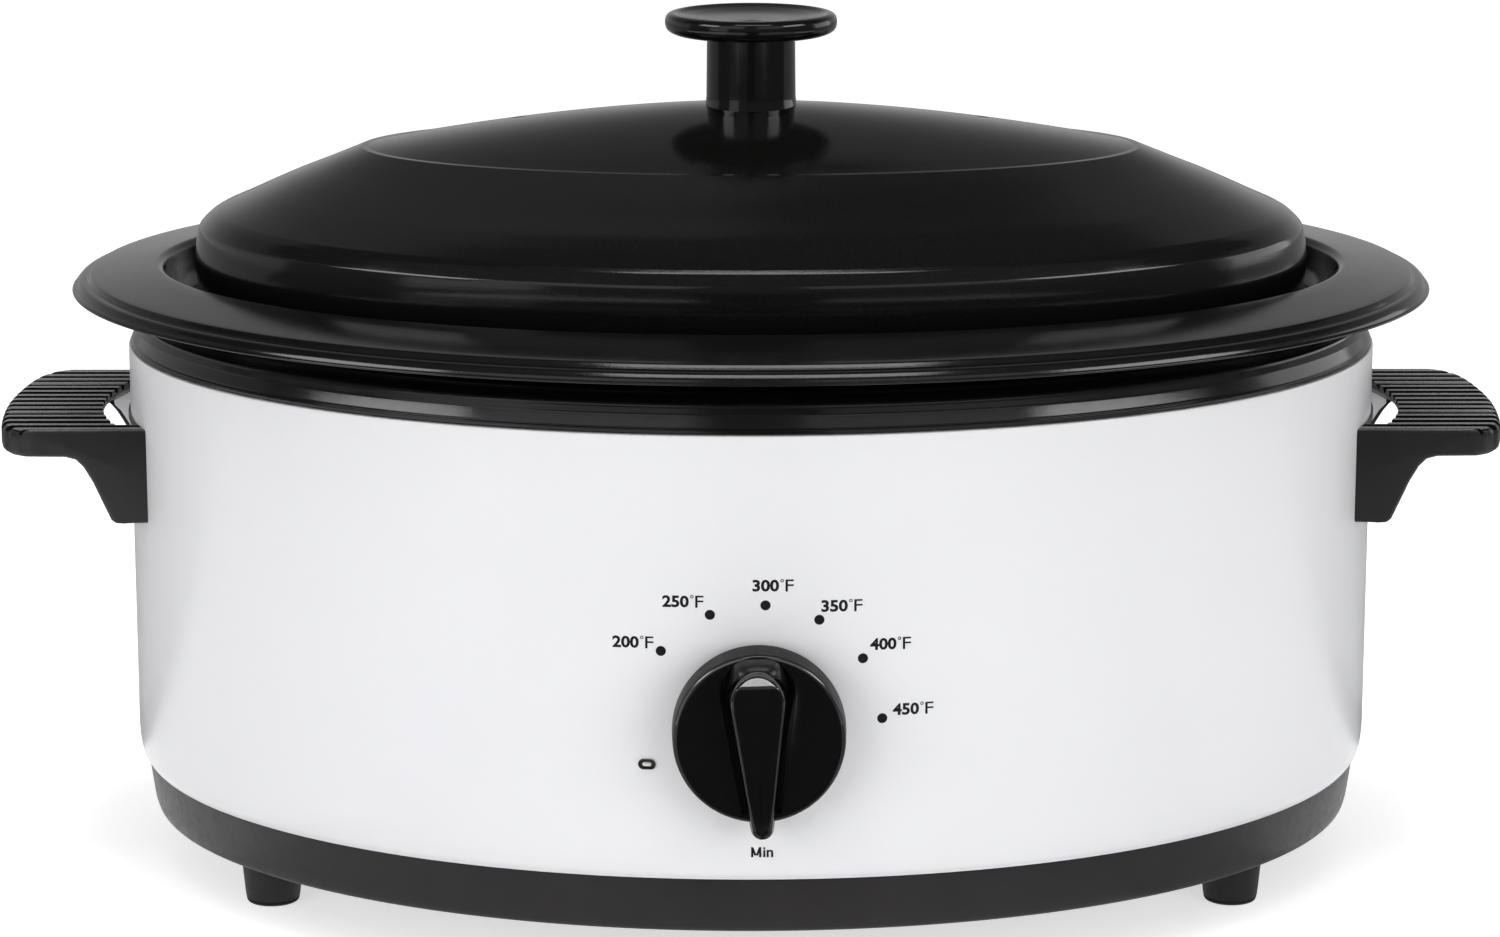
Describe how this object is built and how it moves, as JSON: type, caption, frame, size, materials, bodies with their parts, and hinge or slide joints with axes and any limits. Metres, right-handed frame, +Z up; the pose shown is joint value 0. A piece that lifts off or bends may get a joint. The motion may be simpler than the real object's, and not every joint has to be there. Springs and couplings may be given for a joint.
{
  "type": "electric roaster oven",
  "caption": "Oval countertop roaster: heated casing on feet, lift-out enamelled cookwell with wire rack, lift-off domed lid, side handles and a turning thermostat knob.",
  "frame": {"origin": "middle of the bounding box's base, on the table plane under the feet; the ovals' common axis is 6.0 mm behind it", "axes": "+Z up, +X to the right as seen from the front (along the long handle-to-handle axis), -Y towards the user, where the control knob is"},
  "size_m": [0.4378, 0.3274, 0.248],
  "materials": {
    "white_enamel": "gloss",
    "black_enamel": "gloss",
    "base_plastic": "satin",
    "handle_plastic": "satin",
    "foot_plastic": "matt",
    "knob_plastic": "gloss",
    "rack_chrome": "bright plated",
    "bright_plate": "mill",
    "heater_mica": "woven",
    "glass_fibre": "matted",
    "ceramic_block": "matt",
    "clear_lens": "clear",
    "neon_glass": "clear",
    "grommet_plastic": "satin",
    "lead_sleeve": "braided",
    "brass": "turned",
    "steel": "zinc plated"
  },
  "bodies": {
    "oven": {"outer_shell": "white_enamel", "liner": "black_enamel", "base_pan": "base_plastic", "foot_front_left": "foot_plastic", "foot_front_right": "foot_plastic", "foot_rear_left": "foot_plastic", "foot_rear_right": "foot_plastic", "foot_screws": "steel", "liner_studs": "steel", "stud_nuts": "steel", "stud_washers": "steel", "stud_spacers": "steel", "heat_shield": "bright_plate", "left_handle": "handle_plastic", "right_handle": "handle_plastic", "left_handle_screws": "steel", "right_handle_screws": "steel", "thermostat_body": "ceramic_block", "thermostat_bracket": "steel", "thermostat_screws": "steel", "sensor_pad": "bright_plate", "pilot_lens": "clear_lens", "pilot_holder": "base_plastic", "pilot_lamp": "neon_glass", "band_heater": "heater_mica", "band_strap": "steel", "side_insulation": "glass_fibre", "live_lead": "lead_sleeve", "neutral_lead": "lead_sleeve", "heater_lead": "lead_sleeve", "pilot_leads": "lead_sleeve", "lead_joints": "grommet_plastic", "cord_grommet": "grommet_plastic"},
    "cookwell": {"cookwell": "black_enamel"},
    "cooking_rack": {"cooking_rack": "rack_chrome"},
    "lid": {"lid_shell": "black_enamel", "lid_knob": "knob_plastic", "lid_knob_washer": "steel", "lid_knob_screw": "steel"},
    "control_knob": {"control_knob": "knob_plastic", "knob_clip": "steel", "thermostat_shaft": "brass"}
  },
  "joints": [
    {"name": "cookwell_lift", "type": "slide", "parent": "oven", "child": "cookwell", "axis": [0, 0, 1], "range_m": [0, 0.15]},
    {"name": "rack_lift", "type": "slide", "parent": "cookwell", "child": "cooking_rack", "axis": [0, 0, 1], "range_m": [0, 0.1]},
    {"name": "lid_lift", "type": "slide", "parent": "cookwell", "child": "lid", "axis": [0, 0, 1], "range_m": [0, 0.12]},
    {"name": "knob_turn", "type": "hinge", "parent": "oven", "child": "control_knob", "pos_m": [0.0016, -0.13867, 0.0741], "axis": [0, 1, 0], "range_deg": [0, 268]}
  ]
}
